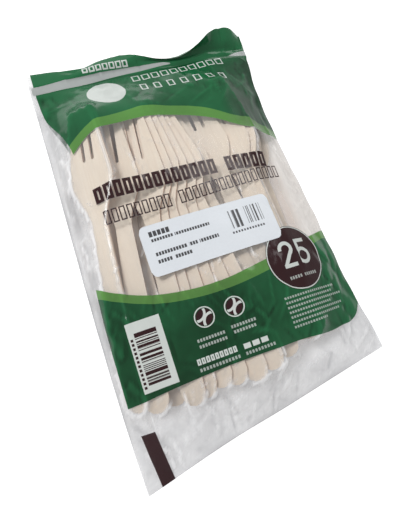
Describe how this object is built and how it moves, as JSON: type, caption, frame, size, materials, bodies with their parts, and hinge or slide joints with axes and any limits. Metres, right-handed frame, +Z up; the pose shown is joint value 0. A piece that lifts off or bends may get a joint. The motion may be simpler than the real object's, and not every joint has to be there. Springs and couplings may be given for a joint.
{
  "type": "wooden cutlery pack",
  "caption": "Sealed clear film bag with green printed bands and a white sticker, holding flat disposable wooden forks.",
  "frame": {"origin": "the point on the supporting surface under the middle of the pack's bounding box", "axes": "+X across the bag, +Y along the bag from the handle ends to the tines and the header, +Z up out of the printed front"},
  "size_m": [0.15, 0.2474, 0.0247],
  "materials": {
    "clear_film": "clear glossy film, thinly wrinkled, with green printed bands",
    "sticker_paper": "smooth white sticker paper",
    "birch_veneer": "dry uncoated pale birch veneer"
  },
  "bodies": {
    "root": {"film_bag": "clear_film", "label_sticker": "sticker_paper", "fork_01": "birch_veneer", "fork_02": "birch_veneer", "fork_03": "birch_veneer", "fork_04": "birch_veneer", "fork_05": "birch_veneer", "fork_06": "birch_veneer", "fork_07": "birch_veneer", "fork_08": "birch_veneer", "fork_09": "birch_veneer", "fork_10": "birch_veneer", "fork_11": "birch_veneer", "fork_12": "birch_veneer", "fork_13": "birch_veneer", "fork_14": "birch_veneer", "fork_15": "birch_veneer", "fork_16": "birch_veneer", "fork_17": "birch_veneer", "fork_18": "birch_veneer", "fork_19": "birch_veneer", "fork_20": "birch_veneer", "fork_21": "birch_veneer", "fork_22": "birch_veneer", "fork_23": "birch_veneer", "fork_24": "birch_veneer", "fork_25": "birch_veneer"}
  },
  "joints": []
}
